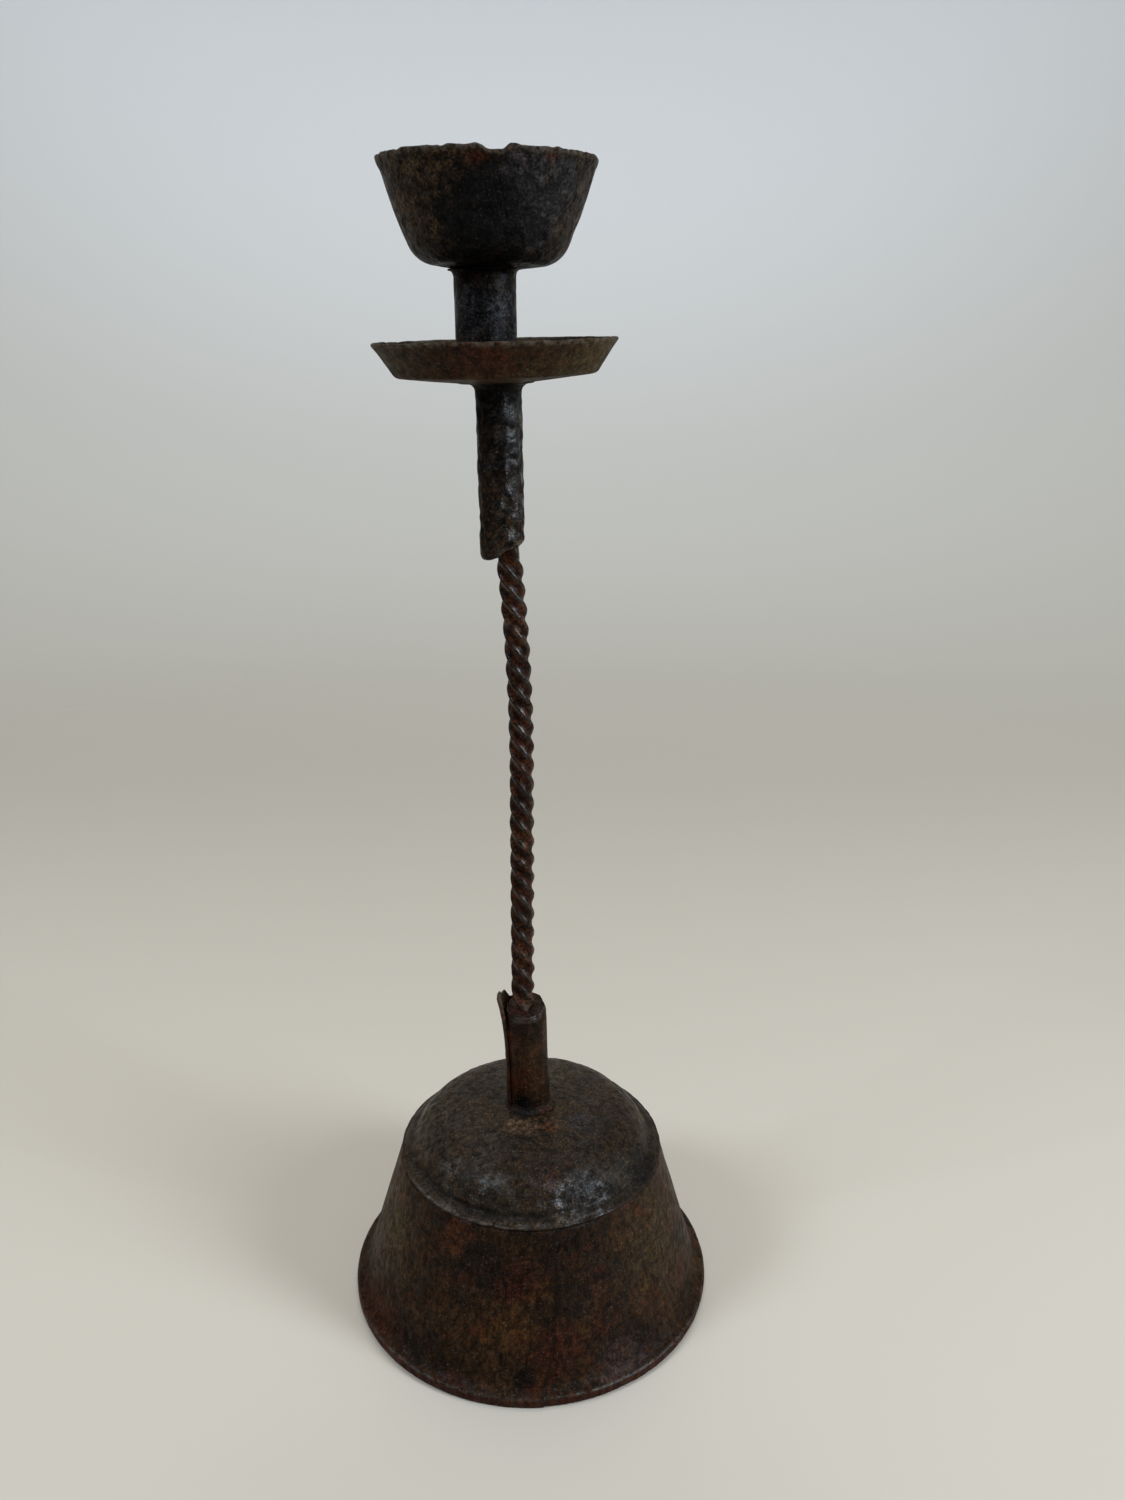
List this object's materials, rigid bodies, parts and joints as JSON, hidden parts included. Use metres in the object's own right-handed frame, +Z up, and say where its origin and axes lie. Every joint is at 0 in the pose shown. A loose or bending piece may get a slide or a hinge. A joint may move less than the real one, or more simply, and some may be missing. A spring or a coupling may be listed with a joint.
{
  "type": "candlestick",
  "caption": "Tall iron candlestick: bell-shaped base, twisted stem in a rolled sleeve, ferrule, drip pan, candle socket and deep cup.",
  "frame": {"origin": "centre of the base's hem, on the surface that the candlestick stands on", "axes": "+Z up along the candlestick; +Y towards the back; -Y is the front, with the seam of the skirt and the notch of the cup; the upper half leans towards -X"},
  "size_m": [0.1603, 0.1607, 0.4667],
  "materials": {
    "cup_iron": "old waxed iron, pitted, dark brown to black",
    "black_iron": "smooth blackened iron, semi-gloss",
    "pan_iron": "olive-brown iron, dull",
    "stem_iron": "rust-brown iron, worn shiny on the ridges",
    "sleeve_iron": "brown iron with rust",
    "cap_iron": "grey-brown waxed iron, pitted",
    "skirt_iron": "rust-brown iron with olive and dark patches",
    "rusty_iron": "rusted iron, dull",
    "braze": "old braze, dull tan"
  },
  "bodies": {
    "root": {"cup": "cup_iron", "cup_braze": "black_iron", "candle_socket": "black_iron", "socket_braze": "braze", "drip_pan": "pan_iron", "ferrule": "black_iron", "ferrule_wedges": "rusty_iron", "stem": "stem_iron", "stem_sleeve": "sleeve_iron", "sleeve_wedges": "rusty_iron", "sleeve_braze": "braze", "base_cap": "cap_iron", "cap_braze": "braze", "base_skirt": "skirt_iron", "rim_wire": "black_iron"}
  },
  "joints": []
}
